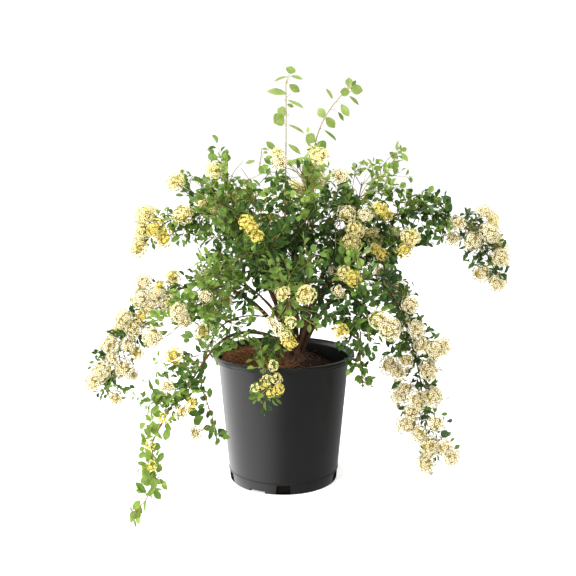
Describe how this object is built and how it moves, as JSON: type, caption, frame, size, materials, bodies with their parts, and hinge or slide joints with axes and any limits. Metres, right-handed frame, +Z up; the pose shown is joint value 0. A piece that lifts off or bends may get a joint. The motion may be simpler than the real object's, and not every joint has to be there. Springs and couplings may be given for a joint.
{
  "type": "potted bridal wreath spirea",
  "caption": "Flowering shrub of thin arching canes with small leaves and cream blossom, hanging over the rim of a round black nursery pot.",
  "frame": {"origin": "middle of the pot's flat underside, where it stands on the ground", "axes": "+Z up along the pot's axis, -Y towards the front that the picture shows, +X to its right"},
  "size_m": [0.8187, 0.7289, 0.8046],
  "materials": {
    "pot_plastic": "satin",
    "potting_mix": "rough",
    "bark": "rough",
    "foliage": "matte"
  },
  "bodies": {
    "root": {"bough_back_arch": "bark", "bough_back_crown": "bark", "bough_back_left_arch": "bark", "bough_back_left_high": "bark", "bough_back_right_arch": "bark", "bough_back_right_high": "bark", "bough_crown_front": "bark", "bough_crown_left": "bark", "bough_crown_mid": "bark", "bough_crown_right": "bark", "bough_front_left": "bark", "bough_front_mid": "bark", "bough_front_right": "bark", "bough_left_arch": "bark", "bough_left_front": "bark", "bough_left_high": "bark", "bough_left_top": "bark", "bough_right_arch": "bark", "bough_right_low": "bark", "bough_right_top": "bark", "bough_top_left": "bark", "bough_top_right": "bark", "clump": "bark", "foliage_back_crown": "foliage", "foliage_back_left_high": "foliage", "foliage_back_left_near": "foliage", "foliage_back_left_tip": "foliage", "foliage_back_near": "foliage", "foliage_back_right_high": "foliage", "foliage_back_right_near": "foliage", "foliage_back_right_tip": "foliage", "foliage_back_tip": "foliage", "foliage_crown_front": "foliage", "foliage_crown_left": "foliage", "foliage_crown_mid": "foliage", "foliage_crown_right": "foliage", "foliage_front_left": "foliage", "foliage_front_mid": "foliage", "foliage_front_right": "foliage", "foliage_front_sprig": "foliage", "foliage_left_arch_near": "foliage", "foliage_left_arch_tip": "foliage", "foliage_left_front_lower": "foliage", "foliage_left_front_upper": "foliage", "foliage_left_high_near": "foliage", "foliage_left_high_tip": "foliage", "foliage_left_rim": "foliage", "foliage_left_top": "foliage", "foliage_right_arch_near": "foliage", "foliage_right_arch_tip": "foliage", "foliage_right_low_near": "foliage", "foliage_right_low_tip": "foliage", "foliage_right_mid": "foliage", "foliage_right_rim": "foliage", "foliage_right_top": "foliage", "foliage_top_left": "foliage", "foliage_top_right": "foliage", "pot": "pot_plastic", "potting_mix": "potting_mix"}
  },
  "joints": []
}
